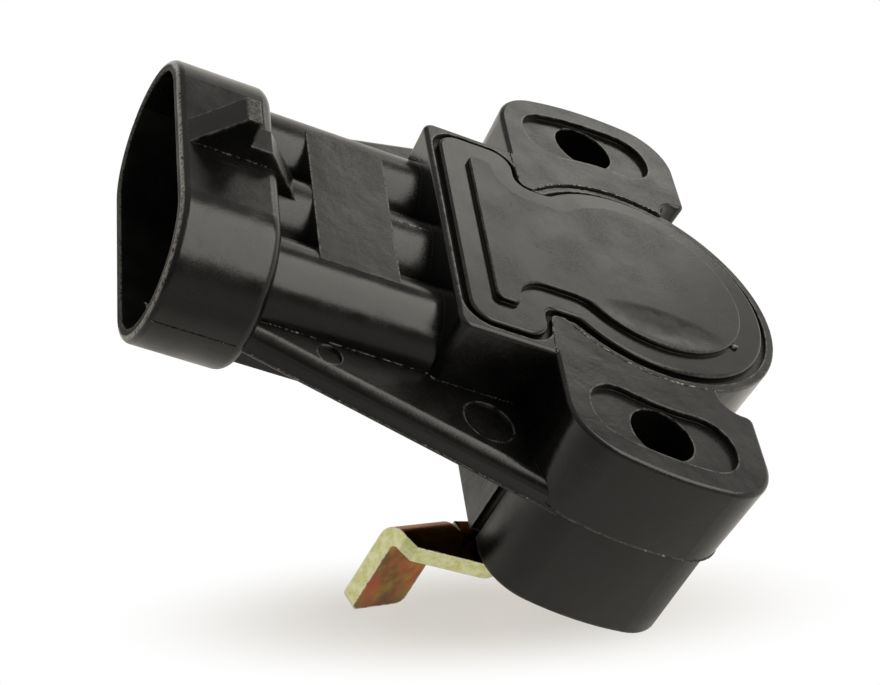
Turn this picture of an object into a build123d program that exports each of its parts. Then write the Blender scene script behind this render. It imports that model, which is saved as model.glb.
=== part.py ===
"""Rotary throttle position sensor with a side connector and a folded drive lever.

The mounting face lies on z = 0 and the middle of the two bolt holes is the origin.
+X runs from the connector to the round end, +Z along the rotor axis and out of the cover.
"""
import os
from math import cos, radians, sin, tan

from build123d import *

os.makedirs("parts", exist_ok=True)

# Mounting and main levels
hole_spacing = 38.0
hole_r = 2.75
height = 16.4
parting_z = 8.8
spread_angle = 2.5
rotor_x = 2.0
edge_round = 0.35
join = 1.0
pocket_corner = 2.9

# Ears, round end and terminal block, measured on the parting plane
ear_r = 24.05
ear_left = -8.15
ear_right = 8.8
ear_inner_y = 14.15
ear_left_corner = 4.6
ear_right_corner = 4.4
ear_inner_corner = 0.4
ear_neck_x = 6.05
ear_neck_r = 2.15
drum_r = 12.08
block_left = -16.3
block_half = 13.1
block_corner = 0.7
pocket_in_r = 16.1
pocket_out_r = 22.2
pocket_half = 6.35
pocket_deep = 0.5
land_r = 12.38
land_deep = 0.15

# Skirt below the parting plane
skirt_inset = 0.3
skirt_left = -8.05
skirt_wall_half = 16.9
leg_left = -7.6
leg_corner = 4.6
leg_groove_r = 0.5
underside_r = 10.2
underside_deep = 1.2

# Connector plate and terminal barrels
plate_top = 10.4
plate_bottom = 8.05
plate_left = -31.8
plate_half_left = 13.75
plate_right = -4.0
plate_half_right = 22.8
plate_round = 1.0
neck_half = 12.65
neck_bottom = 6.1
barrel_r = 4.2
barrel_pitch = 8.45
barrel_bore_r = 3.1
bore_floor_x = -20.0
pad_left = -27.0
pad_right = -20.2
pad_rise = 0.06
ejector_marks = [(-24.7, 14.05, 1.0), (-11.6, 16.3, 2.1)]
ejector_deep = 0.2

# Connector shroud and its lock
mouth_x = -38.75
shroud_back = -30.6
shroud_z = 9.6
shroud_flat = 7.6
shroud_r = 6.8
shroud_wall = 1.0
shroud_round = 1.0
mouth_round = 0.6
socket_floor_x = -32.8
lock_w = 3.0
lock_start = -38.1
lock_top_x = -34.7
lock_end_x = -33.6
lock_h = 3.5
ledge_h = 1.3
ledge_end_x = -31.8
fin_foot_x = -28.3
fin_drop = 0.4

# Cover
cover_left = -15.6
cover_half = 12.2
cover_block_right = -8.75
cover_neck = 8.05
cover_disc_r = 11.1
cover_corner = 2.0
cover_neck_r = 1.35
cover_gap = 0.55
cover_top = 16.6
cover_bottom = 14.3
panel_inset = 2.33
panel_narrow = 0.45
panel_corner = 0.67
panel_neck_r = 0.6
panel_h = 0.45
panel_round = 0.15
cover_round = 0.25
seal_bottom = 14.5
seal_top = 15.9

# Inside
ledge_w = 1.5
block_floor = 9.6
drum_in_r = 9.5
drum_floor = 3.4
bearing_r = 4.6
bearing_top = 7.2
shaft_r = 3.0
bearing_clear = 0.05
seal_groove_r = 4.1
seal_groove_deep = 1.2
stop_half_angle = 6.0
stop_clear_angle = 1.0
stop_in_r = 8.95
stop_sink = 0.3
lug_angle = 60.0
lug_out_r = 9.3
lug_deep = 2.0
travel = 95.0

# Rotor
disc_r = 8.7
disc_bottom = 7.5
disc_top = 9.4
post_r = 2.0
post_top = 15.2
post_clear = 0.05
boss_r = 3.0
boss_bottom = 10.6
tenon_r = 2.4
tenon_flat = 1.9
tenon_bottom = -3.1
tenon_clear = 0.03
peg_r = 0.5
peg_h = 0.7

# Lever, with its tab folded down along a slanted line
lever_top = -0.6
lever_t = 1.5
hub_r = 6.2
hub_right_angle = -50.0
hub_left_angle = 170.0
tab_bottom = -10.1
tab_w = 5.4
tab_angle = 26.5
tab_corner = (-14.5, -16.7)
tab_round = 0.7
bend_r = 0.8
toe = (-12.6, -19.7)
heel = (-5.9, -19.4)
heel_top = (-3.2, -17.3)
heel_r = 1.6
knee = (-6.4, -14.5)
relief = 0.15
relief_deep = 1.0
retainer_r = 4.4
retainer_t = 0.5
retainer_teeth = 6
retainer_slot_r = 3.3
retainer_slot_w = 0.7

# Element board, wiper, spring and terminals
board_t = 0.8
board_inset = 2.3
board_hole_r = 3.6
wiper_t = 0.3
wiper_angle = 240.0
wiper_half_angle = 24.0
wiper_in_r = 4.2
wiper_out_r = 7.9
finger_w = 1.3
finger_radii = (4.9, 6.75)
finger_run = 4.6
finger_gap = 0.1
washer_in_r = 2.2
washer_out_r = 3.3
washer_t = 0.2
washer_bow = 0.75
spring_r = 6.2
wire_r = 0.45
spring_turns = 2.6
spring_gap = 0.15
spring_leg_r = 8.4
anchor_r = 0.7
leg_hole_r = 0.65
pin_r = 1.25
pin_tip_x = -32.4
tail_w = 2.0
tail_t = 0.8
tail_x = -12.2

hole_y = hole_spacing / 2
axis = (rotor_x, 0)
lever_bottom = lever_top - lever_t
seat_bottom = cover_bottom
barrel_ys = [-barrel_pitch, 0, barrel_pitch]
spring_low = drum_floor + wire_r + spring_gap
spring_high = disc_bottom - wire_r - spring_gap
spring_end_angle = 360 * spring_turns
anchor_angle = -8.2
board_bottom = cover_bottom - board_t
bend_out = bend_r + lever_t
fold = Vector(cos(radians(tab_angle)), sin(radians(tab_angle)), 0)
fold_out = Vector(-fold.Y, fold.X, 0)


def drum_plane(z):
    """A level plane with its origin on the rotor axis."""
    return Plane((rotor_x, 0, z))


def span(x0, x1, half):
    """A rectangle from x0 to x1, mirrored about the X axis."""
    with Locations(((x0 + x1) / 2, 0)):
        Rectangle(x1 - x0, 2 * half)


def corners(points):
    """The sketch's corners nearest to the given points and to their mirror images."""
    found = []
    for x, y in points:
        for side in (-1, 1):
            target = Vector(x, side * y, 0)
            found.append(vertices().sort_by_distance(target)[0])
    return found


def ears(left, left_corner, inset):
    """The two ears and the web between them, cut clear of the round end."""
    r = ear_r - inset
    right = ear_right - inset
    with Locations(axis):
        Circle(r)
    with Locations(((left + right) / 2, 0)):
        Rectangle(right - left, 2 * (r + join), mode=Mode.INTERSECT)
    left_y = (r**2 - (left - rotor_x) ** 2) ** 0.5
    right_y = (r**2 - (right - rotor_x) ** 2) ** 0.5
    fillet(corners([(left, left_y)]), left_corner)
    fillet(corners([(right, right_y)]), ear_right_corner)
    neck = ear_neck_x - inset
    with Locations(((neck + ear_r) / 2, 0)):
        Rectangle(ear_r - neck, 2 * (ear_inner_y + inset), mode=Mode.SUBTRACT)
    fillet(corners([(neck, ear_inner_y + inset)]), ear_neck_r)
    fillet(corners([(right, ear_inner_y + inset)]), ear_inner_corner)
    with Locations(axis):
        Circle(drum_r - inset)


def cover_outline(grow, narrow=0, corner=cover_corner, neck_r=cover_neck_r):
    """The cover's keyhole outline, grown or shrunk all round, its block end narrowed at both sides."""
    half = cover_half - narrow
    span(cover_left, cover_block_right, half)
    span(cover_block_right - join, rotor_x, cover_neck)
    with Locations(axis):
        Circle(cover_disc_r)
    neck_x = rotor_x - (cover_disc_r**2 - cover_neck**2) ** 0.5
    fillet(corners([(cover_left, half), (cover_block_right, half)]), corner)
    fillet(corners([(cover_block_right, cover_neck), (neck_x, cover_neck)]), neck_r)
    if grow:
        offset(amount=grow, mode=Mode.REPLACE)


def oval(r):
    """The shroud's section, on a plane whose axes are Y and Z."""
    with Locations((0, shroud_z)):
        SlotOverall(2 * (shroud_flat + r), 2 * r)


# Housing: one moulding that holds the plate, barrels, shroud, ears, skirt and bearing
with BuildPart() as housing:
    with BuildSketch(Plane.YZ.offset(mouth_x)):
        oval(shroud_r)
    extrude(amount=shroud_back - mouth_x)
    fillet(faces().sort_by(Axis.X)[-1].edges(), shroud_round)
    fillet(faces().sort_by(Axis.X)[0].edges(), mouth_round)

    with BuildSketch(Plane.XY.offset(plate_bottom)):
        with BuildLine():
            Polyline(
                (plate_left, -plate_half_left),
                (plate_right, -plate_half_right),
                (plate_right, plate_half_right),
                (plate_left, plate_half_left),
                close=True,
            )
        make_face()
    extrude(amount=plate_top - plate_bottom)
    slanted = edges(Select.LAST).filter_by(GeomType.LINE).filter_by(Axis.Y, reverse=True)
    sides = slanted.sort_by(SortBy.LENGTH)[-4:].group_by(Axis.Z)
    fillet(sides[-1], plate_round)
    fillet(sides[0], edge_round)
    with BuildSketch(Plane.XY.offset(neck_bottom)):
        span(shroud_back - join, skirt_left + join, neck_half)
    extrude(amount=plate_bottom - neck_bottom)

    with BuildSketch(Plane.XY):
        ears(leg_left, leg_corner, skirt_inset)
        span(skirt_left, rotor_x, skirt_wall_half)
        with Locations((leg_left, skirt_wall_half), (leg_left, -skirt_wall_half)):
            Circle(leg_groove_r, mode=Mode.SUBTRACT)
    extrude(amount=parting_z)

    with BuildSketch(Plane.XY.offset(parting_z)):
        ears(ear_left, ear_left_corner, 0)
        span(block_left, rotor_x, block_half)
        fillet(corners([(block_left, block_half)]), block_corner)
    extrude(amount=height - parting_z, taper=-spread_angle)
    fillet(faces(Select.LAST).sort_by(Axis.Z)[-1].edges(), edge_round)

    with BuildSketch(Plane.YZ.offset(plate_left)):
        with Locations(*[(y, plate_top) for y in barrel_ys]):
            Circle(barrel_r)
    extrude(amount=block_left - plate_left + join)
    with BuildSketch(Plane.XY.offset(plate_top)):
        span(pad_left, pad_right, barrel_pitch)
    extrude(amount=barrel_r + pad_rise)

    with BuildSketch(Plane.XZ):
        top = shroud_z + shroud_r
        with BuildLine():
            Polyline(
                (lock_start, top - join),
                (lock_start, top),
                (lock_top_x, top + lock_h),
                (lock_end_x, top + lock_h),
                (lock_end_x, top + ledge_h),
                (ledge_end_x, top + ledge_h),
                (fin_foot_x, plate_top + barrel_r - fin_drop),
                (fin_foot_x, plate_top),
                (shroud_back, plate_top),
                (shroud_back, top - join),
                close=True,
            )
        make_face()
    extrude(amount=lock_w / 2, both=True)

    with BuildSketch(Plane.YZ.offset(bore_floor_x)):
        with Locations(*[(y, plate_top) for y in barrel_ys]):
            Rectangle(tail_w, tail_t)
    extrude(amount=tail_x - bore_floor_x, mode=Mode.SUBTRACT)
    with BuildSketch(Plane.YZ.offset(mouth_x)):
        oval(shroud_r - shroud_wall)
    extrude(amount=socket_floor_x - mouth_x, mode=Mode.SUBTRACT)
    with BuildSketch(Plane.YZ.offset(socket_floor_x)):
        with Locations(*[(y, plate_top) for y in barrel_ys]):
            Circle(barrel_bore_r)
    extrude(amount=bore_floor_x - socket_floor_x, mode=Mode.SUBTRACT)

    with BuildSketch(drum_plane(height)):
        Circle(land_r)
    extrude(amount=-land_deep, mode=Mode.SUBTRACT)
    with BuildSketch(Plane.XY.offset(height)):
        cover_outline(cover_gap)
    extrude(amount=seat_bottom - height, mode=Mode.SUBTRACT)
    with BuildSketch(Plane.XY.offset(seat_bottom)):
        cover_outline(-ledge_w)
    extrude(amount=block_floor - seat_bottom, mode=Mode.SUBTRACT)
    with BuildSketch(drum_plane(block_floor)):
        Circle(drum_in_r)
    extrude(amount=drum_floor - block_floor, mode=Mode.SUBTRACT)

    with BuildSketch(drum_plane(0)):
        Circle(underside_r)
    extrude(amount=underside_deep, mode=Mode.SUBTRACT)
    with BuildSketch(drum_plane(underside_deep)):
        Circle(bearing_r)
    extrude(amount=bearing_top - underside_deep)
    with BuildSketch(drum_plane(0)):
        Circle(shaft_r + bearing_clear)
    extrude(amount=bearing_top, mode=Mode.SUBTRACT)
    with BuildSketch(drum_plane(bearing_top)):
        Circle(seal_groove_r)
    extrude(amount=-seal_groove_deep, mode=Mode.SUBTRACT)

    with BuildSketch(drum_plane(drum_floor)):
        with PolarLocations(spring_leg_r, 1, start_angle=anchor_angle):
            Circle(anchor_r)
    extrude(amount=spring_low - drum_floor + wire_r)

    stop_reach = 2 * stop_half_angle + stop_clear_angle
    with BuildSketch(drum_plane(drum_floor)):
        for stop_angle in (lug_angle + stop_reach, lug_angle - travel - stop_reach):
            mid_r = (stop_in_r + drum_in_r + stop_sink) / 2
            stop_w = 2 * mid_r * tan(radians(stop_half_angle))
            with PolarLocations(mid_r, 1, start_angle=stop_angle):
                Rectangle(drum_in_r + stop_sink - stop_in_r, stop_w)
    extrude(amount=disc_top - drum_floor)

    with BuildSketch(Plane.XY.offset(height)):
        with Locations(axis):
            Circle(pocket_out_r)
            Circle(pocket_in_r, mode=Mode.SUBTRACT)
        Rectangle(2 * pocket_half, 2 * (pocket_out_r + join), mode=Mode.INTERSECT)
        fillet(vertices(), pocket_corner)
    extrude(amount=-pocket_deep, mode=Mode.SUBTRACT)
    with BuildSketch(Plane.XY):
        with Locations((0, hole_y), (0, -hole_y)):
            Circle(hole_r)
    extrude(amount=height, mode=Mode.SUBTRACT)
    with BuildSketch(Plane.XY.offset(plate_top)):
        for mark_x, mark_y, mark_r in ejector_marks:
            with Locations((mark_x, mark_y), (mark_x, -mark_y)):
                Circle(mark_r)
    extrude(amount=-ejector_deep, mode=Mode.SUBTRACT)
housing.part.label = "housing"
export_step(housing.part, "parts/housing.step")

# Cover: a keyhole lid with a raised panel, and a boss that guides the rotor post
with BuildPart() as cover:
    with BuildSketch(Plane.XY.offset(cover_bottom)):
        cover_outline(0)
    extrude(amount=cover_top - cover_bottom)
    fillet(faces().sort_by(Axis.Z)[-1].edges(), cover_round)
    with BuildSketch(Plane.XY.offset(cover_top)):
        cover_outline(-panel_inset, panel_narrow, panel_inset + panel_corner, panel_neck_r)
    extrude(amount=panel_h)
    fillet(faces().sort_by(Axis.Z)[-1].edges(), panel_round)
    with BuildSketch(drum_plane(boss_bottom)):
        Circle(boss_r)
    extrude(amount=cover_bottom - boss_bottom)
    with BuildSketch(drum_plane(boss_bottom)):
        Circle(post_r + post_clear)
    extrude(amount=post_top - boss_bottom + post_clear, mode=Mode.SUBTRACT)
cover.part.label = "cover"
export_step(cover.part, "parts/cover.step")

# Sealant bead, sunk in the groove round the cover
with BuildPart() as cover_seal:
    with BuildSketch(Plane.XY.offset(seal_bottom)):
        cover_outline(cover_gap)
    extrude(amount=seal_top - seal_bottom)
    with BuildSketch(Plane.XY.offset(seal_bottom)):
        cover_outline(0)
    extrude(amount=seal_top - seal_bottom, mode=Mode.SUBTRACT)
cover_seal.part.label = "cover_seal"
export_step(cover_seal.part, "parts/cover_seal.step")

# Rotor: disc, shaft, guide post and a flatted tenon for the lever, with a stop lug
with BuildPart() as rotor:
    with BuildSketch(Plane((rotor_x, 0, 0), x_dir=(1, 0, 0), z_dir=(0, -1, 0))):
        with BuildLine():
            Polyline(
                (0, tenon_bottom),
                (tenon_r, tenon_bottom),
                (tenon_r, lever_top),
                (shaft_r, lever_top),
                (shaft_r, disc_bottom),
                (disc_r, disc_bottom),
                (disc_r, disc_top),
                (post_r, disc_top),
                (post_r, post_top),
                (0, post_top),
                close=True,
            )
        make_face()
    revolve(axis=Axis((rotor_x, 0, 0), (0, 0, 1)))
    with BuildSketch(drum_plane(tenon_bottom)):
        Circle(tenon_r + join)
        Rectangle(2 * (tenon_r + join), 2 * tenon_flat, mode=Mode.SUBTRACT)
    extrude(amount=lever_top - tenon_bottom, mode=Mode.SUBTRACT)
    with BuildSketch(drum_plane(disc_bottom)):
        lug_w = 2 * lug_out_r * tan(radians(stop_half_angle))
        with PolarLocations(lug_out_r - lug_deep / 2, 1, start_angle=lug_angle):
            Rectangle(lug_deep, lug_w)
    extrude(amount=disc_top - disc_bottom)
    with BuildSketch(drum_plane(disc_bottom)):
        with PolarLocations(spring_r, 1, start_angle=spring_end_angle):
            Circle(leg_hole_r)
    extrude(amount=disc_top - disc_bottom, mode=Mode.SUBTRACT)
    with BuildSketch(drum_plane(disc_top)):
        for finger_r in finger_radii:
            with PolarLocations(finger_r, 1, start_angle=wiper_angle):
                Circle(peg_r)
    extrude(amount=peg_h)
rotor.part.label = "rotor"
export_step(rotor.part, "parts/rotor.step")

# Wiper: a spring plate on the rotor's pegs, with two fingers up to the tracks
with BuildPart() as wiper:
    with BuildSketch(drum_plane(disc_top)):
        Circle(wiper_out_r)
        Circle(wiper_in_r, mode=Mode.SUBTRACT)
        with PolarLocations(wiper_out_r, 1, start_angle=wiper_angle):
            plate_w = 2 * wiper_out_r * sin(radians(wiper_half_angle))
            Rectangle(2 * wiper_out_r, plate_w, mode=Mode.INTERSECT)
        for finger_r in finger_radii:
            with PolarLocations(finger_r, 1, start_angle=wiper_angle):
                Circle(peg_r, mode=Mode.SUBTRACT)
    extrude(amount=wiper_t)
    for finger_r in finger_radii:
        outward = Vector(1, 0).rotate(Axis.Z, wiper_angle)
        finger_start = Vector(rotor_x, 0) + outward * finger_r
        forward = outward.rotate(Axis.Z, 90)
        low = disc_top
        tip = board_bottom - finger_gap
        with BuildSketch(Plane(finger_start, x_dir=forward, z_dir=forward.cross(Vector(0, 0, 1)))):
            with BuildLine():
                Polyline(
                    (peg_r + wiper_t, low),
                    (2 * finger_w, low),
                    (finger_run, tip - wiper_t),
                    (finger_run + finger_w, tip - 3 * wiper_t),
                    (finger_run + finger_w, tip - 2 * wiper_t),
                    (finger_run, tip),
                    (2 * finger_w - wiper_t, low + wiper_t),
                    (peg_r + wiper_t, low + wiper_t),
                    close=True,
                )
            make_face()
        extrude(amount=finger_w / 2, both=True)
wiper.part.label = "wiper"
export_step(wiper.part, "parts/wiper.step")

# Element board that carries the resistive tracks, bonded under the cover
with BuildPart() as element_board:
    with BuildSketch(Plane.XY.offset(board_bottom)):
        cover_outline(-board_inset)
        with Locations(axis):
            Circle(board_hole_r, mode=Mode.SUBTRACT)
    extrude(amount=board_t)
element_board.part.label = "element_board"
export_step(element_board.part, "parts/element_board.step")

# Three terminals: a round pin in its bore, a flat tail and an upright to the board
for terminal_name, y in zip(("near", "middle", "far"), barrel_ys):
    with BuildPart() as terminal:
        with BuildSketch(Plane.YZ.offset(pin_tip_x)):
            with Locations((y, plate_top)):
                Circle(pin_r)
        extrude(amount=bore_floor_x - pin_tip_x)
        chamfer(faces().sort_by(Axis.X)[0].edges(), pin_r / 2)
        with BuildSketch(Plane.YZ.offset(bore_floor_x)):
            with Locations((y, plate_top)):
                Rectangle(tail_w, tail_t)
        extrude(amount=tail_x - bore_floor_x)
        with BuildSketch(Plane.XY.offset(plate_top - tail_t / 2)):
            with Locations((tail_x - tail_t / 2, y)):
                Rectangle(tail_t, tail_w)
        extrude(amount=board_bottom - plate_top + tail_t / 2)
    terminal.part.label = "terminal_" + terminal_name
    export_step(terminal.part, "parts/terminal_" + terminal_name + ".step")

# Shaft seal: a ring in the counterbore at the top of the bearing
with BuildPart() as shaft_seal:
    ring_r = (seal_groove_r - shaft_r - bearing_clear) / 2
    with BuildSketch(Plane((rotor_x, 0, 0), x_dir=(1, 0, 0), z_dir=(0, -1, 0))):
        with Locations((seal_groove_r - ring_r, bearing_top - seal_groove_deep + ring_r)):
            Circle(ring_r)
    revolve(axis=Axis((rotor_x, 0, 0), (0, 0, 1)))
shaft_seal.part.label = "shaft_seal"
export_step(shaft_seal.part, "parts/shaft_seal.step")

# Spring washer: a bowed ring between the cover boss and the rotor disc
with BuildPart() as spring_washer:
    bow_r = (washer_out_r**2 + washer_bow**2) / (2 * washer_bow)
    with BuildSketch(drum_plane(disc_top)):
        Circle(washer_out_r)
        Circle(washer_in_r, mode=Mode.SUBTRACT)
    extrude(amount=boss_bottom - disc_top)
    with BuildSketch(Plane((rotor_x, 0, boss_bottom - bow_r), x_dir=(1, 0, 0), z_dir=(0, -1, 0))):
        Circle(bow_r)
        Circle(bow_r - washer_t, mode=Mode.SUBTRACT)
    extrude(amount=washer_out_r, both=True, mode=Mode.INTERSECT)
spring_washer.part.label = "spring_washer"
export_step(spring_washer.part, "parts/spring_washer.step")

# Return spring: a torsion coil round the bearing, one leg on the anchor and one in the rotor
with BuildPart() as return_spring:
    coil_h = spring_high - spring_low
    with BuildLine() as coil:
        Helix(coil_h / spring_turns, coil_h, spring_r, center=(rotor_x, 0, spring_low))
    with BuildSketch(Plane(coil.line @ 0, z_dir=coil.line % 0)):
        Circle(wire_r)
    sweep(is_frenet=True)
    with BuildSketch(Plane((rotor_x + spring_r, 0, spring_low), z_dir=(1, 0, 0))):
        Circle(wire_r)
    extrude(amount=spring_leg_r + anchor_r - spring_r)
    with BuildSketch(drum_plane(spring_high)):
        with PolarLocations(spring_r, 1, start_angle=spring_end_angle):
            Circle(wire_r)
    extrude(amount=disc_top - spring_high)
return_spring.part.label = "return_spring"
export_step(return_spring.part, "parts/return_spring.step")

# Drive lever: one pressed sheet with a flatted hub hole and a folded tab
with BuildPart() as lever:
    corner = Vector(*tab_corner)
    tip_in = corner - fold_out * bend_out
    tab_end = corner + fold * tab_w
    tab_end_in = tab_end - fold_out * bend_out
    relief_in = tab_end_in + fold * relief
    relief_out = relief_in + fold_out * relief_deep
    hub_right = Vector(*axis) + Vector(hub_r, 0).rotate(Axis.Z, hub_right_angle)
    hub_left = Vector(*axis) + Vector(hub_r, 0).rotate(Axis.Z, hub_left_angle)
    with BuildSketch(Plane.XY.offset(lever_bottom)):
        with BuildLine():
            Polyline(
                tip_in, toe, heel, heel_top, hub_right, hub_left,
                knee, relief_out, relief_in, tab_end_in, close=True,
            )
        make_face()
        fillet(vertices().sort_by_distance(Vector(*heel))[:1], heel_r)
        fillet(vertices().sort_by_distance(Vector(*heel_top))[:1], heel_r)
        with Locations(axis):
            Circle(hub_r)
        with BuildSketch(Plane.XY, mode=Mode.SUBTRACT):
            with Locations(axis):
                Circle(tenon_r + tenon_clear)
                Rectangle(2 * (tenon_r + join), 2 * (tenon_flat + tenon_clear), mode=Mode.INTERSECT)
    extrude(amount=lever_t)
    with BuildSketch(Plane(corner, x_dir=fold_out, z_dir=fold)):
        with BuildLine():
            Line((-bend_out, lever_bottom), (-bend_out, lever_top))
            RadiusArc((-bend_out, lever_top), (0, lever_top - bend_out), bend_out)
            Line((0, lever_top - bend_out), (0, tab_bottom))
            Line((0, tab_bottom), (-lever_t, tab_bottom))
            Line((-lever_t, tab_bottom), (-lever_t, lever_bottom - bend_r))
            RadiusArc((-lever_t, lever_bottom - bend_r), (-bend_out, lever_bottom), -bend_r)
        make_face()
    extrude(amount=tab_w)
    fillet(edges().filter_by(Axis((0, 0, 0), fold_out)).group_by(Axis.Z)[0], tab_round)
lever.part.label = "lever"
export_step(lever.part, "parts/lever.step")

# Push-on retainer that holds the lever on the tenon
with BuildPart() as lever_retainer:
    with BuildSketch(drum_plane(lever_bottom - retainer_t)):
        Circle(retainer_r)
        Circle(tenon_r + tenon_clear, mode=Mode.SUBTRACT)
        with PolarLocations(retainer_slot_r - tenon_r / 2, retainer_teeth):
            Rectangle(tenon_r, retainer_slot_w, mode=Mode.SUBTRACT)
    extrude(amount=retainer_t)
lever_retainer.part.label = "lever_retainer"
export_step(lever_retainer.part, "parts/lever_retainer.step")
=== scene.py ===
# %% [markdown]
# # A throttle position sensor
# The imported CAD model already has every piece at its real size: a black moulded housing with a
# plug socket, a glued cover, and a plated steel lever under the mounting face.
# This lesson leaves those shapes alone. It sets up the camera and the studio, gives every piece
# a finish built from nodes, and adds the small traces that a mould leaves on plastic.

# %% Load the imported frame
from math import degrees, radians

import bpy
from mathutils import Matrix, Vector


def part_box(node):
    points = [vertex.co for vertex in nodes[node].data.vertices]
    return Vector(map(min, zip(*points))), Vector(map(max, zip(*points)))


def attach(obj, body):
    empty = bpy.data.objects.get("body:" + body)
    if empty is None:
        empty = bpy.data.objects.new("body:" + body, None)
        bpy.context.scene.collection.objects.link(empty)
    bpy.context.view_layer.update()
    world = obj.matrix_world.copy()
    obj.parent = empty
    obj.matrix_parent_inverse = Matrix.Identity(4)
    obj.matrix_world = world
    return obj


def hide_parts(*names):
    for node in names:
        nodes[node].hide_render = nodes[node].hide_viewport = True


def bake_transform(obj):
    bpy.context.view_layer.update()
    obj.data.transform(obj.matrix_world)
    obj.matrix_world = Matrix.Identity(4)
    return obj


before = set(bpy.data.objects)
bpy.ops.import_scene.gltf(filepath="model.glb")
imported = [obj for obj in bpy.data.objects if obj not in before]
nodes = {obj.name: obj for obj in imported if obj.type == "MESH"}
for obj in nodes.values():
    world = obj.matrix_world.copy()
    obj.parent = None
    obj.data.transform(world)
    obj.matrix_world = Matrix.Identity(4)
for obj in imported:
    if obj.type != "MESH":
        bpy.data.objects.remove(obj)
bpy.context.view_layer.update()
MM = 0.001
bpy.ops.object.select_all(action="DESELECT")

# %% [markdown]
# ## Camera
# The sensor was photographed as it tips over on the table, so the picture is rolled against
# its mounting face. The camera keeps the object's own frame upright and rolls itself instead.
# A long lens from about 20 cm gives the photograph's weak perspective.

# %% Camera
eye = Vector((-79.33, -145.69, 105.64)) * MM
aim = Vector((-10.91, 0.01, 4.69)) * MM
roll = radians(31.53)
bpy.ops.object.camera_add(location=eye)
camera = bpy.context.object
camera.data.sensor_width = 36
camera.data.lens = 94.1
camera.data.clip_start = 5 * MM
turn = (eye - aim).to_track_quat("Z", "Y").to_matrix() @ Matrix.Rotation(roll, 3, "Z")
camera.rotation_euler = turn.to_euler()
bpy.context.scene.camera = camera
print("camera", tuple(round(c, 4) for c in eye))

# %% [markdown]
# ## Nodes by name
# A finish is a small graph. Written out node by node it is hard to read, so these helpers each
# add one step and give back the socket that the next step takes. The first set serves any node
# tree, the room's too. The second set is for materials. Every pattern there reads Object
# coordinates, so it stays on the piece when the lever turns.

# %% Helpers for any node tree
COLOUR_A, COLOUR_B, COLOUR_OUT = 6, 7, 2  # where a Mix node keeps its colour sockets


class Graph:
    """A node tree, with helpers that add one node each."""

    def __init__(self, tree):
        self.tree = tree

    def add(self, kind, *sources, **settings):
        """A node of that kind, with its first inputs wired to sockets or set to values."""
        node = self.tree.nodes.new("ShaderNode" + kind)
        for key, value in settings.items():
            setattr(node, key, value)
        for socket, source in zip(node.inputs, sources):
            self.put(source, socket)
        return node

    def put(self, source, socket):
        """Wires a socket, or sets a value."""
        if isinstance(source, bpy.types.NodeSocket):
            self.tree.links.new(source, socket)
        elif source is not None:
            socket.default_value = source

    def math(self, operation, a, b=None, c=None):
        return self.add("Math", a, b, c, operation=operation).outputs[0]

    def product(self, first, *others):
        """All the values multiplied together."""
        for other in others:
            first = self.math("MULTIPLY", first, other)
        return first

    def dot(self, a, b):
        return self.add("VectorMath", a, b, operation="DOT_PRODUCT").outputs["Value"]

    def step(self, source, low, high, out_low=0.0, out_high=1.0):
        """A smooth step of a value from one level to another."""
        node = self.add("MapRange", source, low, high, out_low, out_high)
        node.interpolation_type = "SMOOTHSTEP"
        return node.outputs[0]

    def mix(self, factor, a, b):
        """A colour between two colours."""
        node = self.add("Mix", data_type="RGBA")
        self.put(factor, node.inputs["Factor"])
        self.put(a, node.inputs[COLOUR_A])
        self.put(b, node.inputs[COLOUR_B])
        return node.outputs[COLOUR_OUT]

    def ramp(self, source, stops):
        """A grey from a value, by stops of (place, level)."""
        node = self.add("ValToRGB", source)
        points = node.color_ramp.elements
        while len(points) < len(stops):
            points.new(0.5)
        for point, (where, level) in zip(points, stops):
            point.position = where
            point.color = (level, level, level, 1)
        return node.outputs["Color"]


print("helpers for any node tree ready")


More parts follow.
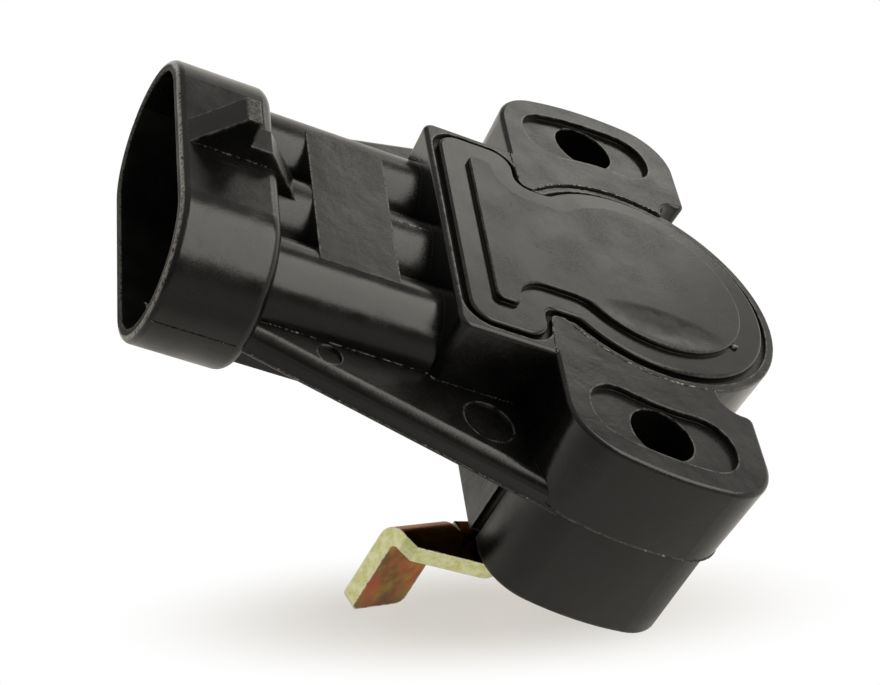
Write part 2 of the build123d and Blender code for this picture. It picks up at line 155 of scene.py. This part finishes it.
# %% Helpers for a material
class Finish(Graph):
    """A material with one Principled shader, patterned in Object coordinates."""

    def __init__(self, name, roughness, metallic=0.0):
        self.material = bpy.data.materials.new(name)
        self.material.use_nodes = True
        super().__init__(self.material.node_tree)
        self.shader = self.tree.nodes["Principled BSDF"]
        self.shader.inputs["Roughness"].default_value = roughness
        self.shader.inputs["Metallic"].default_value = metallic
        self.place = self.add("TexCoord").outputs["Object"]

    def give(self, name, source):
        """Wires the shader's socket of that name."""
        self.put(source, self.shader.inputs[name])

    def along(self, axis):
        """One of the object coordinates, in millimetres."""
        parts = self.add("SeparateXYZ", self.place)
        return self.math("MULTIPLY", parts.outputs[axis], 1 / MM)

    def round_zone(self, middle_mm, radii_mm):
        """How far a point is from the middle of a rounded zone, with 1 on the zone's border."""
        node = self.add("Mapping", self.place, vector_type="TEXTURE")
        node.inputs["Location"].default_value = Vector(middle_mm) * MM
        node.inputs["Scale"].default_value = Vector(radii_mm) * MM
        return self.add("VectorMath", node.outputs[0], operation="LENGTH").outputs["Value"]

    def noise(self, size_mm, detail=2.0, stretch=(1, 1, 1), rough=0.5):
        """Noise with features of about that size, drawn out along the stretched axes."""
        scaled = self.add("Mapping", self.place, vector_type="POINT")
        scaled.inputs["Scale"].default_value = [1 / (size_mm * MM * s) for s in stretch]
        node = self.add("TexNoise", scaled.outputs[0])
        node.inputs["Scale"].default_value = 1.0
        node.inputs["Detail"].default_value = detail
        node.inputs["Roughness"].default_value = rough
        return node.outputs["Fac"]

    def bump(self, height, depth_mm, strength=1.0, normal=None):
        node = self.add("Bump")
        node.inputs["Strength"].default_value = strength
        node.inputs["Distance"].default_value = depth_mm * MM
        self.put(height, node.inputs["Height"])
        self.put(normal, node.inputs["Normal"])
        return node.outputs["Normal"]

    def soft_edges(self, radius_mm):
        """The surface normal, rounded over every sharp edge."""
        node = self.add("Bevel", samples=4)
        node.inputs["Radius"].default_value = radius_mm * MM
        return node.outputs["Normal"]

    def outer_edges(self, reach_mm):
        """A mask that is 1 along outward edges and 0 elsewhere, from rays cast inwards."""
        node = self.add("AmbientOcclusion", samples=8, inside=True, only_local=True)
        node.inputs["Distance"].default_value = reach_mm * MM
        return self.step(node.outputs["AO"], 0.88, 0.60)

    def wear(self, *names):
        """Puts the finish on the named nodes or pieces."""
        for name in names:
            piece = bpy.data.objects[name]
            piece.data.materials.clear()
            piece.data.materials.append(self.material)


def grey(level, warm=1.0):
    """A dark neutral colour, a little warmer where warm is above 1."""
    return (level * warm, level, level / warm**1.6, 1.0)


print("helpers for a material ready")

# %% [markdown]
# ## Studio
# Black plastic shows little colour of its own. What it shows is the room, so the room decides
# whether it looks like plastic. A soft box overhead draws the long highlights on the barrels, a
# white panel behind gives the flat tops their grey, the horizon is pale as in a paper sweep, and
# the rest of the room is dim.
# The sensor stands on the edge of its ears and on the lever's tab, so the table is a plane
# through those feet, tilted in the object's frame, with its own axes turned to the picture.

# %% Table
ear_foot = Vector((8.5, 0, 0)) * MM
tab_foot = Vector((-9.3 * MM, 0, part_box("lever")[0].z))
shadow_middle = Vector((-3.7, -17.8, -6.95)) * MM
lean = (tab_foot - ear_foot).normalized()
table_up = lean.cross(Vector((0, -1, 0))).normalized()
picture_right = turn @ Vector((1, 0, 0))
table_right = (picture_right - table_up * picture_right.dot(table_up)).normalized()
table_back = table_up.cross(table_right)
bpy.ops.mesh.primitive_plane_add(size=4.0, location=shadow_middle)
table = bpy.context.object
table.name = "table"
table.rotation_euler = Matrix((table_right, table_back, table_up)).transposed().to_euler()
print("table leans by", round(degrees(table_up.angle(Vector((0, 0, 1)))), 1), "degrees")

# %% Room
white = (1, 1, 1, 1)
warm_room = (1.0, 0.97, 0.91, 1)
glow_by_height = [(0.0, 0.85), (0.12, 0.85), (0.30, 0.25), (0.85, 0.40)]
world = bpy.data.worlds.new("room")
bpy.context.scene.world = world
world.use_nodes = True
room = Graph(world.node_tree)
direction = room.add("TexCoord").outputs["Generated"]
glow = room.ramp(room.dot(direction, table_up), glow_by_height)
towards_back = room.dot(direction, table_back)
dim_front = room.add("MapRange", towards_back, -0.8, 0.2, 0.52, 1.0).outputs["Result"]
seen = room.add("LightPath").outputs["Is Camera Ray"]
backdrop = room.tree.nodes["Background"].inputs
room.put(room.math("MAXIMUM", room.product(glow, dim_front), seen), backdrop["Strength"])
room.put(room.mix(seen, warm_room, white), backdrop["Color"])
print("room dim above a pale horizon, and white to the camera")

# %% Lamps
warm_white = (1.0, 0.965, 0.88)


def soft_box(name, place_mm, shines, size_mm, brightness):
    """A rectangular lamp at that place, with its brightness as seen from the object."""
    bpy.ops.object.light_add(type="AREA", location=Vector(place_mm) * MM)
    lamp = bpy.context.object
    lamp.name = name
    lamp.visible_camera = False
    lamp.data.shape = "RECTANGLE"
    lamp.data.size, lamp.data.size_y = size_mm[0] * MM, size_mm[1] * MM
    lamp.data.energy = brightness * 4 * lamp.data.size * lamp.data.size_y
    lamp.data.color = warm_white
    lamp.rotation_euler = (-Vector(shines)).to_track_quat("Z", "Y").to_euler()


soft_box("key_box", (163, -55, 420), (0, 0, -1), (320, 640), brightness=2.2)
soft_box("back_panel", (174, 400, 236), (0, -1, 0), (124, 105), brightness=0.97)

# %% [markdown]
# ## Table finish
# The table is white paper, and the picture's background is that paper. To the camera it is plain
# white, except in a flat oval round the feet, where the real shadow shows through and the white
# is tinted warm as painted shadow. The plastic mirrors it too, and there shade is painted into its
# glow: darker in front, and in a round patch behind, standing for where the sensor shuts out the
# light. From below it is clear, so that views of the underside see past it.

# %% How white the table looks
paper = Finish("white_table", roughness=0.16)
paper.shader.inputs["Base Color"].default_value = (0.52, 0.505, 0.48, 1)
paper.shader.inputs["Specular IOR Level"].default_value = 1.0
clear_of_shadow = paper.step(paper.round_zone((0, 0, 0), (30, 7.4, 1)), 0.2, 1.05)
paleness = paper.math("MULTIPLY_ADD", clear_of_shadow, 0.40, 0.60)
# Painted shade in reflections: the table's glow is dimmed in a patch behind the sensor and towards
# the front.
painted_shade_patch = paper.step(paper.round_zone((2, 40, 0), (28, 28, 1)), 0.7, 1.1, 0.3, 1.0)
painted_far_front_shade = paper.step(paper.along("Y"), -56, -40, 0.2, 1.0)
painted_front_shade = paper.step(paper.along("Y"), -25, 10, 0.46, 0.95)
path = paper.add("LightPath")
seen = path.outputs["Is Camera Ray"]
mirrored = paper.product(path.outputs["Is Glossy Ray"], painted_front_shade, painted_shade_patch, painted_far_front_shade)
glowing = paper.product(paleness, paper.math("MAXIMUM", seen, mirrored))
print("table shaded in", len(paper.tree.nodes), "nodes")

# %% Table shader
# Painted shadow tint: the glow in the oval round the feet is warmer than the white outside it.
mirrored_white, painted_shadow_tint = (1.0, 0.95, 0.88, 1), (1.0, 0.965, 0.91, 1)
seen_white = paper.mix(clear_of_shadow, painted_shadow_tint, white)
sheet = paper.add("Emission", paper.mix(seen, mirrored_white, seen_white), 1.0)
lit = paper.add("MixShader", glowing, paper.shader.outputs[0], sheet.outputs[0])
below = paper.add("NewGeometry").outputs["Backfacing"]
clear = paper.add("BsdfTransparent")
one_sided = paper.add("MixShader", below, lit.outputs[0], clear.outputs[0])
paper.put(one_sided.outputs[0], paper.tree.nodes["Material Output"].inputs["Surface"])
table.data.materials.append(paper.material)
print("table white, and clear from below")

# %% [markdown]
# ## Black moulded plastic
# The housing and the cover are glass-filled plastic straight from the mould: nearly black and
# satin, with a fine grain, cloudy patches where the melt cooled, a few pale specks and scuffs,
# and pale outer edges, part rubbing and part painted highlight. Each of these is one layer of
# noise. One function gives the plastic to both pieces, and each piece then gets its own marks.


# %% Moulded plastic
def moulded(name, base, roughness, sink_mm):
    """Satin black plastic with cloudy tone, fine grain, scuffs, and pale outer edges, part rubbing
    and part painted highlight.
    """
    finish = Finish(name, roughness)
    clouds = finish.noise(4.0, detail=4.0)
    grain = finish.noise(0.16, detail=3.0, rough=0.7)
    specks = finish.step(finish.noise(0.22, detail=1.0), 0.72, 0.80)
    scuffs = finish.step(finish.noise(0.5, detail=3.0, stretch=(6, 1, 1)), 0.66, 0.74)
    patches = finish.step(finish.noise(0.7, detail=4.0), 0.36, 0.60)
    # Painted highlight and wear: outer edges are painted pale, part rubbing and part standing in
    # for light on the edge.
    rub_and_edge_highlight = finish.product(finish.outer_edges(0.3), patches, 0.9)
    dusty = finish.math("ADD", finish.product(specks, 0.6), finish.product(scuffs, 0.25))
    tone = finish.mix(finish.step(clouds, 0.3, 0.7), grey(base * 0.7, 1.03), grey(base * 1.3, 1.04))
    tone = finish.mix(dusty, tone, grey(base * 6, 1.04))
    finish.tone = finish.mix(rub_and_edge_highlight, tone, grey(0.12, 1.04))
    finish.give("Base Color", finish.tone)
    grain_dull = finish.step(grain, 0.2, 0.8, roughness - 0.06, roughness + 0.06)
    cloud_dull = finish.step(clouds, 0.3, 0.7, -0.06, 0.08)
    dull = finish.math("ADD", grain_dull, cloud_dull)
    finish.dull = finish.math("MULTIPLY_ADD", scuffs, 0.08, dull)
    finish.give("Roughness", finish.dull)
    sunk = finish.bump(clouds, sink_mm, 0.6, finish.soft_edges(0.06))
    finish.grained = finish.bump(grain, 0.012, 0.6, sunk)
    finish.give("Normal", finish.grained)
    return finish


shell = moulded("housing_black", base=0.004, roughness=0.21, sink_mm=0.12)
lid = moulded("cover_black", base=0.004, roughness=0.20, sink_mm=0.03)
print("moulded plastic of", len(lid.tree.nodes), "nodes")

# %% [markdown]
# ## Marks on the housing
# The socket's rim is dull on its flat and chipped pale along its rounded edge. The lock's top is
# worn by the plug that snaps over it, and its whole top is painted a little paler for the light
# falling on it. Below the parting line the plastic is rougher, and the wall under the plate has
# streaks that the mould dragged into it as it opened. Each mark is a mask from a coordinate or
# from the way a face looks, multiplied by a noise.

# %% Rim, lock and drag marks
mouth_x, lock_z, parting_z, leg_y = -38.75, 19.9, 8.8, 16.5
faces = shell.add("NewGeometry").outputs["True Normal"]
endwise = shell.step(shell.dot(faces, (-1, 0, 0)), 0.97, 0.99)
rim = shell.step(shell.along("X"), mouth_x + 0.23, mouth_x + 0.11)
rim_flat = shell.product(rim, endwise)
rim_edge = shell.math("SUBTRACT", rim, rim_flat)
chips = shell.step(shell.noise(0.25, detail=3.0), 0.30, 0.56)
lock_top = shell.step(shell.along("Z"), lock_z - 0.15, lock_z - 0.02)
# Painted light and wear: the lock's top is painted paler everywhere, and more in worn patches.
lock_wear_and_painted_light = shell.step(shell.noise(0.28, detail=4.0), 0.36, 0.62, 0.06, 0.30)
pale = shell.math("MAXIMUM", shell.product(rim_edge, chips), shell.product(lock_top, lock_wear_and_painted_light))
lower_half = shell.step(shell.along("Z"), parting_z + 0.05, parting_z - 0.05)
past_socket = shell.step(shell.along("X"), -20, -19)
inside_legs = shell.step(shell.math("ABSOLUTE", shell.along("Y")), leg_y + 0.1, leg_y - 0.1)
dragged = shell.step(shell.noise(0.3, detail=3.0, stretch=(1, 1, 9)), 0.54, 0.62)
drag_marks = shell.product(endwise, dragged, lower_half, past_socket, inside_legs, 0.7)
print("housing marks in", len(shell.tree.nodes), "nodes")

# %% Housing finish
tone = shell.mix(pale, shell.tone, grey(0.32, 1.05))
shell.give("Base Color", shell.mix(drag_marks, tone, grey(0.09, 1.08)))
rough_rim = shell.math("MULTIPLY_ADD", rim_flat, 0.45, shell.dull)
shell.give("Roughness", shell.math("MULTIPLY_ADD", lower_half, 0.16, rough_rim))
shell.wear("housing")
print("plastic on the housing")

# %% [markdown]
# ## Marks on the cover
# Where the cover is thick behind its panel, the plastic shrank as it cooled and left a sink mark:
# a shallow long dish, duller in a ragged patch. It is too shallow for an outline to show it, so a
# bump bends the light there. The panel also has faint lines from wiping, both ways, and the
# lower border round it is glossier.

# %% Cover finish
sink_middle, sink_radii = (2.3, -6.2, 17.0), (4.2, 1.5, 2.0)
panel_z, border_z = 16.85, 16.68
from_sink = lid.round_zone(sink_middle, sink_radii)
lid.give("Normal", lid.bump(lid.step(from_sink, 0.0, 1.5), 0.13, 1.0, lid.grained))
fray = lid.step(lid.noise(1.2, detail=4.0), 0.2, 0.8, -0.3, 0.3)
dull_patch = lid.step(lid.math("ADD", from_sink, fray), 1.25, 0.0, 0.0, 0.36)
wiped_along = lid.step(lid.noise(0.20, stretch=(5, 1, 1)), 0.45, 0.65)
wiped_across = lid.step(lid.noise(0.20, stretch=(1, 5, 1)), 0.45, 0.65)
wiped = lid.product(wiped_along, wiped_across)
border = lid.step(lid.along("Z"), panel_z, border_z, 0.0, -0.10)
dull = lid.math("MULTIPLY_ADD", wiped, 0.035, lid.math("ADD", lid.dull, dull_patch))
lid.give("Roughness", lid.math("ADD", dull, border))
lid.wear("cover")
print("plastic on the cover")

# %% [markdown]
# ## Plated lever
# The lever is zinc plated and passivated yellow: the sheared edges are pale yellow green and
# matt, and the rolled faces shine in bands of gold, red and olive, as a thin film does.
# The arm lies flat and the tab is folded down, so the sheared faces are told apart by the way
# they look, with one rule for the arm and one for the tab.

# %% Sheared faces of the lever
along_fold, across_fold = (0.895, 0.446, 0.0), (-0.446, 0.895, 0.0)
plated = Finish("yellow_passivate", roughness=0.3, metallic=1.0)
faces = plated.add("NewGeometry").outputs["True Normal"]
tab_sides = plated.step(plated.math("ABSOLUTE", plated.dot(faces, along_fold)), 0.12, 0.3)
arm_sides = plated.step(plated.math("ABSOLUTE", plated.dot(faces, (0, 0, 1))), 0.5, 0.3)
past_arm = plated.step(plated.dot(plated.place, along_fold), -14.8 * MM, -15.0 * MM)
past_fold = plated.step(plated.dot(plated.place, across_fold), -11.0 * MM, -10.8 * MM)
on_tab = plated.product(past_arm, past_fold)
tab_not_arm = plated.math("SUBTRACT", tab_sides, arm_sides)
sheared = plated.math("MULTIPLY_ADD", on_tab, tab_not_arm, arm_sides)
print("sheared faces found in", len(plated.tree.nodes), "nodes")

# %% Film on the rolled faces
brown, gold = (0.20, 0.09, 0.02, 1), (0.52, 0.29, 0.03, 1)
red, olive, deep_brown = (0.48, 0.10, 0.045, 1), (0.26, 0.23, 0.03, 1), (0.08, 0.04, 0.02, 1)
golden = plated.step(plated.noise(2.6, detail=3.0), 0.40, 0.66)
reddish = plated.step(plated.noise(2.0, detail=3.0, stretch=(1, 1, 2)), 0.42, 0.62)
greenish = plated.step(plated.noise(1.5, detail=2.0), 0.52, 0.70)
# The film is darker towards the bottom of the tab.
darker_to_bottom = plated.step(plated.along("Z"), -6.5, -10.4, 0.0, 0.55)
film = plated.mix(golden, brown, gold)
film = plated.mix(plated.product(reddish, 0.75), film, red)
film = plated.mix(plated.product(greenish, 0.6), film, olive)
film = plated.mix(darker_to_bottom, film, deep_brown)
print("film of five colours on the lever's faces")

# %% Lever finish
yellow_green, pale_yellow = (0.66, 0.68, 0.26, 1), (0.88, 0.90, 0.56, 1)
chalky, bright = (0.92, 0.91, 0.72, 1), (0.92, 0.88, 0.74, 1)
chalk = plated.noise(0.18, detail=3.0, rough=0.7)
streaks = plated.step(plated.noise(0.7, detail=3.0), 0.3, 0.7)
edge_hue = plated.mix(streaks, yellow_green, pale_yellow)
edge_hue = plated.mix(plated.step(chalk, 0.55, 0.70), edge_hue, chalky)
patches = plated.step(plated.noise(0.5, detail=3.0), 0.36, 0.56)
burr = plated.product(plated.outer_edges(0.22), patches, 0.8)
plated.give("Base Color", plated.mix(burr, plated.mix(sheared, film, edge_hue), bright))
plated.give("Roughness", plated.step(sheared, 0, 1, 0.22, 0.40))
plated.give("Metallic", plated.step(sheared, 0, 1, 1.0, 0.85))
plated.give("Normal", plated.bump(chalk, 0.02, 0.5, plated.soft_edges(0.12)))
plated.wear("lever")
print("passivate on the lever")

# %% [markdown]
# ## Pieces inside
# The sealant, the seal, the board, the terminals and the rotor hardly show, but they are part of
# the model, so each has the finish of its own material. Metal has a drawn or rolled grain, and
# rubber, laminate and filled plastic have a mottled tone. Both are one noise that is read three
# times, for colour, gloss and bump, so one function serves them all.


# %% Inner finishes
def grained(name, colour, roughness, size_mm, stretch=(1, 1, 1), metal=False):
    """A solid with a grain of that size, with wider contrast where it isn't metal."""
    finish = Finish(name, roughness, metallic=1.0 if metal else 0.0)
    shade, smoother, depth_mm = (0.7, 0.08, 0.01) if metal else (0.6, 0.1, 0.02)
    grain = finish.noise(size_mm, detail=4.0, stretch=stretch)
    dark = tuple(c * shade for c in colour) + (1,)
    finish.give("Base Color", finish.mix(grain, dark, colour + (1,)))
    finish.give("Roughness", finish.step(grain, 0.2, 0.8, roughness - smoother, roughness + 0.1))
    finish.give("Normal", finish.bump(grain, depth_mm, 0.5))
    return finish


grained("sealant_black", (0.006, 0.006, 0.006), 0.45, 0.6).wear("cover_seal")
grained("seal_rubber", (0.02, 0.02, 0.02), 0.6, 0.3).wear("shaft_seal")
grained("board_laminate", (0.25, 0.14, 0.06), 0.5, 0.4, (4, 1, 1)).wear("element_board")
grained("rotor_grey", (0.05, 0.05, 0.048), 0.55, 0.3).wear("rotor")
tinned = grained("tinned_brass", (0.72, 0.69, 0.60), 0.3, 0.3, (6, 1, 1), metal=True)
tinned.wear("terminal_near", "terminal_middle", "terminal_far")
sprung = grained("spring_steel", (0.50, 0.50, 0.50), 0.3, 0.2, metal=True)
sprung.wear("return_spring", "spring_washer")
grained("wiper_bronze", (0.72, 0.46, 0.22), 0.28, 0.3, (4, 1, 1), metal=True).wear("wiper")
grained("retainer_steel", (0.40, 0.40, 0.39), 0.35, 0.3, metal=True).wear("lever_retainer")
print("inner pieces finished")

# %% [markdown]
# ## Return spring
# The coil's lower leg stays on an anchor in the housing and its upper leg turns with the rotor, so
# at work the wire winds up between them. A rigid coil would cut through the rotor instead.
# A copy of the node's mesh stands for it.
# The node's triangles are loose, so the copy is merged first.

# %% Return spring
coil = bpy.data.objects.new("return_coil", nodes["return_spring"].data.copy())
bpy.context.scene.collection.objects.link(coil)
bpy.ops.object.select_all(action="DESELECT")
coil.select_set(True)
bpy.context.view_layer.objects.active = coil
bpy.ops.object.mode_set(mode="EDIT")
bpy.ops.mesh.select_all(action="SELECT")
bpy.ops.mesh.remove_doubles(threshold=0.001 * MM)
bpy.ops.object.mode_set(mode="OBJECT")
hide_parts("return_spring")
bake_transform(coil)

# %% [markdown]
# ## Flash
# Where the halves of the mould met, a little plastic crept into the gap and stayed as a thin
# ragged ridge, paler than the rest where it is thin and rubbed. It runs along the edge of the
# plate, round the ears, along the socket and at the foot of the barrels and of the lock.
# A painted line would vanish from the side. Here a small triangle is drawn across the line, its
# base sunk in the surface, carried along by extrude and spin, and its points are then shaken.


# %% Flash finishes
def flash_finish(name, share, roughness):
    """Black plastic with pale rubbed dots, more of them with a higher share."""
    finish = Finish(name, roughness)
    fewest = 0.62 - 0.3 * share
    dots = finish.step(finish.noise(0.30, detail=2.0), fewest, fewest + 0.12)
    finish.give("Base Color", finish.mix(dots, grey(0.002, 1.04), grey(0.30, 1.05)))
    finish.give("Normal", finish.bump(finish.noise(0.12, detail=3.0), 0.03, 0.6))
    return finish


pale_flash = flash_finish("flash_pale", share=0.42, roughness=0.5)
dark_flash = flash_finish("flash_dark", share=-0.05, roughness=0.95)
satin_flash = flash_finish("flash_satin", share=0.05, roughness=0.4)
print("flash pale, dark and satin")

# %% Tools that draw a ridge
TRIANGLE_SIDE = 1.732  # of a triangle whose corners are 1 from its middle


def draw_profile(place_mm, along, out, wide_mm, tall_mm):
    """A triangle across a line, its point standing out of the surface, left in edit mode."""
    bpy.ops.object.select_all(action="DESELECT")
    along, out = Vector(along).normalized(), Vector(out).normalized()
    axes = Matrix((out.cross(along), out, along)).transposed()
    bpy.ops.mesh.primitive_circle_add(
        vertices=3, radius=1.0, fill_type="NGON",
        location=Vector(place_mm) * MM, rotation=axes.to_euler())
    bpy.context.object.scale = (wide_mm * MM / TRIANGLE_SIDE, tall_mm * MM, 1.0)
    bpy.ops.object.transform_apply(location=True, rotation=True, scale=True)
    bpy.ops.object.mode_set(mode="EDIT")
    bpy.ops.mesh.select_all(action="SELECT")


def carry(by_mm, parts):
    """Extrudes the end of the ridge straight on, in short parts."""
    part = Vector(by_mm) * MM / parts
    for _ in range(parts):
        bpy.ops.mesh.extrude_region_move(TRANSFORM_OT_translate={"value": part})


def swing(middle_mm, angle, parts):
    """Spins the end of the ridge by degrees, anticlockwise as seen from above."""
    middle, down = Vector(middle_mm) * MM, (0, 0, -1)  # about +Z, spin turns clockwise
    bpy.ops.mesh.spin(steps=parts, angle=radians(angle), center=middle, axis=down)


print("ridge tools ready")


# %% Tools that finish a ridge
def settle(name, shake_mm, finish=pale_flash):
    """Closes the ridge, shakes its points, and gives it its name, body and finish."""
    bpy.ops.mesh.select_all(action="SELECT")
    bpy.ops.mesh.remove_doubles(threshold=0.001 * MM)
    bpy.ops.mesh.fill_holes(sides=4)
    bpy.ops.transform.vertex_random(offset=shake_mm * MM, seed=len(name))
    bpy.ops.mesh.normals_make_consistent(inside=False)
    bpy.ops.object.mode_set(mode="OBJECT")
    ridge = bpy.context.object
    ridge.name = name
    finish.wear(name)
    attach(ridge, "case")
    end = [round(c / MM, 2) for c in ridge.data.vertices[-1].co]
    print(name, len(ridge.data.polygons), "faces, ends at", end)
    return ridge


def mirror_copy(ridge, name, finish=pale_flash):
    """The same ridge on the far side, with a mesh of its own."""
    bpy.ops.object.select_all(action="DESELECT")
    ridge.select_set(True)
    bpy.context.view_layer.objects.active = ridge
    bpy.ops.object.duplicate()
    bpy.ops.object.mode_set(mode="EDIT")
    bpy.ops.mesh.select_all(action="SELECT")
    bpy.ops.transform.resize(value=(1, -1, 1), center_override=(0, 0, 0))
    settle(name, 0.02, finish)


print("settling tools ready")

# %% Flash round the ears
draw_profile((-6.80, -21.89, parting_z), (0.7, -0.7, 0), (-0.7, -0.7, 0), 0.20, 0.09)
swing((-3.55, -18.64, parting_z), 28.4, 14)
swing((2.0, 0.0, parting_z), 23.6, 40)
swing((4.4, -19.5, parting_z), 83.0, 30)
carry((0, 4.9, 0), 20)
mirror_copy(settle("ear_flash_near", 0.04, satin_flash), "ear_flash_far", satin_flash)

# %% Flash along the plate
draw_profile((-30.5, -14.17, 8.4), (0.951, -0.310, 0), (-0.310, -0.951, 0), 0.22, 0.10)
carry((23.6, -7.68, 0), 110)
mirror_copy(settle("plate_flash_near", 0.05, satin_flash), "plate_flash_far", satin_flash)

# %% Seam of the socket
draw_profile((-38.35, -14.33, parting_z), (1, 0, 0), (0, -1, 0), 0.18, 0.09)
carry((6.7, 0, 0), 40)
mirror_copy(settle("socket_seam_near", 0.05, dark_flash), "socket_seam_far", dark_flash)

# %% Flash at the foot of the outer barrels
draw_profile((-29.6, -12.68, 10.42), (1, 0, 0), (0, -0.7, 0.7), 0.16, 0.10)
carry((13.2, 0, 0), 60)
carry((0.4, -0.45, 0), 2)
carry((6.8, 0, 0), 30)
mirror_copy(settle("barrel_flash_near", 0.05), "barrel_flash_far")

# %% Flash at the foot of the lock
draw_profile((-37.4, -1.55, 16.41), (1, 0, 0), (0, -0.7, 0.7), 0.16, 0.10)
carry((5.9, 0, 0), 28)
mirror_copy(settle("lock_flash_near", 0.05), "lock_flash_far")

# %% [markdown]
# ## Witness lines and a whisker
# Where inserts met in the mould they left finer lines: across the top of the terminal block,
# round the land beside the cover and on the crest of the middle barrel. At the socket's mouth a
# whisker of plastic was pulled out of the parting line and curls inwards. The same tools draw
# them all, and the whisker's end is made smaller as it is carried on.

# %% Witness line across the block
draw_profile((-8.12, -9.70, 16.40), (0, -1, 0), (0, 0, 1), 0.14, 0.07)
carry((-0.22, -1.6, 0), 8)
carry((-0.12, -2.0, 0), 9)
mirror_copy(settle("block_seam_near", 0.05), "block_seam_far")

# %% Witness line round the land
draw_profile((-6.36, -9.13, 16.39), (0.737, -0.676, 0), (-0.6, -0.66, 0.45), 0.12, 0.07)
swing((2.0, 0.0, 16.4), 62.0, 66)
mirror_copy(settle("land_seam_near", 0.04), "land_seam_far")

# %% Witness line on the middle barrel
draw_profile((-19.9, 0.05, 14.60), (1, 0, 0), (0, 0, 1), 0.20, 0.07)
carry((3.1, 0, 0), 12)
settle("crest_seam", 0.02)

# %% Whisker at the socket's mouth
draw_profile((-38.62, -13.75, 8.95), (0, 1, 0), (-1, 0, 0), 0.22, 0.11)
carry((0, 0.9, -0.10), 3)
bpy.ops.transform.resize(value=(0.8, 0.8, 0.8))
carry((0, 0.7, -0.25), 3)
bpy.ops.transform.resize(value=(0.6, 0.6, 0.6))
carry((0, 0.3, -0.25), 2)
settle("mouth_whisker", 0.01)

# %% [markdown]
# ## Gate mark
# The melt ran into the cover's mould through a small gate beside the panel, and a nub was left
# where the sprue was snapped off. A cylinder gives the stump, its top is inset and pulled
# askew for the broken face, and a bevel softens its rim.

# %% Stump of the gate
gate_place = Vector((9.36, -5.22, 16.66)) * MM
bpy.ops.object.select_all(action="DESELECT")
bpy.ops.mesh.primitive_cylinder_add(
    vertices=20, radius=0.30 * MM, depth=0.24 * MM, location=gate_place)
gate = bpy.context.object
gate.name = "gate_mark"
bpy.ops.object.transform_apply(location=True, rotation=True, scale=True)
bpy.ops.object.mode_set(mode="EDIT")
bpy.ops.mesh.select_all(action="DESELECT")
bpy.ops.object.mode_set(mode="OBJECT")
for face in gate.data.polygons:
    face.select = face.normal.z > 0.9
print("stump with", sum(face.select for face in gate.data.polygons), "top face selected")

# %% Broken face of the gate
bpy.ops.object.mode_set(mode="EDIT")
bpy.ops.mesh.inset(thickness=0.08 * MM)
bpy.ops.transform.translate(value=Vector((0.05, -0.03, 0.06)) * MM)
bpy.ops.mesh.inset(thickness=0.09 * MM)
bpy.ops.transform.translate(value=Vector((-0.02, 0.02, -0.07)) * MM)
bpy.ops.mesh.select_all(action="SELECT")
bpy.ops.mesh.bevel(offset=0.03 * MM, segments=2)
bpy.ops.mesh.normals_make_consistent(inside=False)
bpy.ops.object.mode_set(mode="OBJECT")
bpy.ops.object.shade_smooth_by_angle(angle=radians(40))
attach(gate, "case")
pale_flash.wear("gate_mark")
print("gate mark", len(gate.data.polygons), "faces")

# %% [markdown]
# ## View settings
# The render uses Blender's standard view transform.

# %% View settings
bpy.context.scene.view_settings.view_transform = "Standard"
